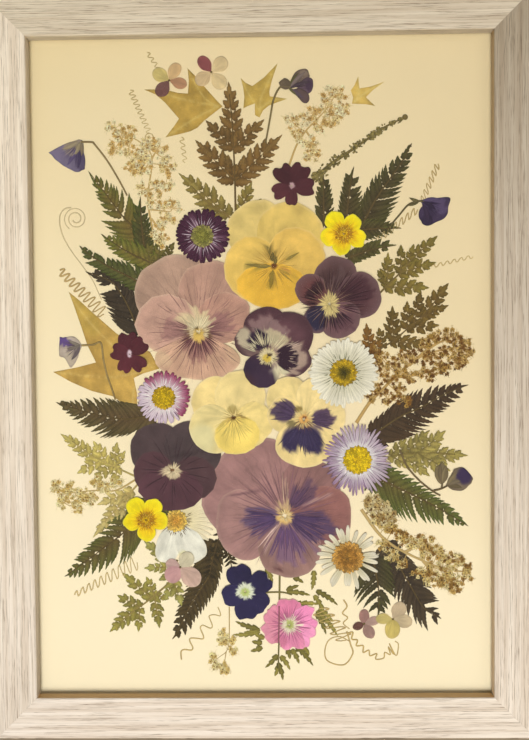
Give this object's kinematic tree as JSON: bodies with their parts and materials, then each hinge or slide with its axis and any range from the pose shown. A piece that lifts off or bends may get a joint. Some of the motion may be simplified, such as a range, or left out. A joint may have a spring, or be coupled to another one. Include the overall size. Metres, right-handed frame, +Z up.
{
  "type": "pressed flower frame",
  "caption": "Upright picture frame in limed wood with pressed flowers, ferns and leaves laid on a cream card behind glass, held by a back board with bent tabs and a hanger.",
  "frame": {"origin": "middle of the frame's underside, on the middle plane of its whole depth", "axes": "+Z up along the frame's long side, +X to the right seen from the front, the picture faces -Y and the back board +Y"},
  "size_m": [0.236, 0.0202, 0.323],
  "materials": {
    "frame_wood": "limed, pale wash over open grain, satin",
    "glass": "clear float glass, polished",
    "card": "cream backing card, matt",
    "hardboard": "bare hardboard, matt",
    "steel": "zinc plated, satin",
    "petal_yellow": "dried petal, thin and matt, translucent",
    "petal_buttercup": "dried petal with a slight gloss",
    "petal_mauve": "dried petal, thin and matt, faded",
    "petal_dark": "dried petal, thin and matt, nearly black purple",
    "petal_white": "dried petal, thin and matt, translucent",
    "petal_magenta": "dried petal, thin and matt",
    "petal_maroon": "dried petal, thin and matt",
    "petal_blue": "dried petal, thin and matt",
    "petal_pink": "dried petal, thin and matt",
    "leaf_green": "dried leaf, matt",
    "leaf_dark": "dried leaf, browned, matt",
    "leaf_olive": "dried leaf, faded olive, matt",
    "leaf_ochre": "dried leaf, yellowed, matt"
  },
  "bodies": {
    "root": {"rail_bottom": "frame_wood", "rail_right": "frame_wood", "rail_top": "frame_wood", "rail_left": "frame_wood", "glass": "glass", "sheet": "card", "back_board": "hardboard", "tab_bottom": "steel", "tab_right_1": "steel", "tab_right_2": "steel", "tab_top": "steel", "tab_left_1": "steel", "tab_left_2": "steel", "hanger": "steel", "nail_left": "steel", "nail_right": "steel", "pansy_yellow": "petal_yellow", "pansy_pale": "petal_yellow", "viola_yellow": "petal_yellow", "buttercup_upper": "petal_buttercup", "buttercup_lower": "petal_buttercup", "pansy_mauve": "petal_mauve", "pansy_large": "petal_mauve", "grey_flower": "petal_mauve", "viola_two_tone": "petal_dark", "viola_dark": "petal_dark", "pansy_black": "petal_dark", "daisy_dark": "petal_dark", "daisy_white": "petal_white", "daisy_lilac": "petal_white", "daisy_brown": "petal_white", "daisy_cream": "petal_white", "daisy_magenta": "petal_magenta", "verbena_upper": "petal_maroon", "verbena_left": "petal_maroon", "verbena_blue": "petal_blue", "violet_bud": "petal_blue", "violet_flower": "petal_blue", "bud_pair": "petal_blue", "primrose_pink": "petal_pink", "floret_pink": "petal_pink", "fern_left_upper": "leaf_green", "fern_left_green": "leaf_green", "fern_right_green": "leaf_green", "fern_left_dark": "leaf_dark", "fern_left_mid": "leaf_dark", "fern_lower_left": "leaf_dark", "fern_bottom": "leaf_dark", "fern_bottom_right": "leaf_dark", "fern_right_dark": "leaf_dark", "fern_right_top": "leaf_dark", "fern_brown_top": "leaf_olive", "leaf_pale_left": "leaf_olive", "leaf_olive_right": "leaf_olive", "sprig_right_upper": "leaf_olive", "sprig_right_lower": "leaf_olive", "parsley_left": "leaf_olive", "maple_olive": "leaf_olive", "maple_ochre": "leaf_ochre", "ivy_leaf": "leaf_ochre"}
  },
  "joints": []
}
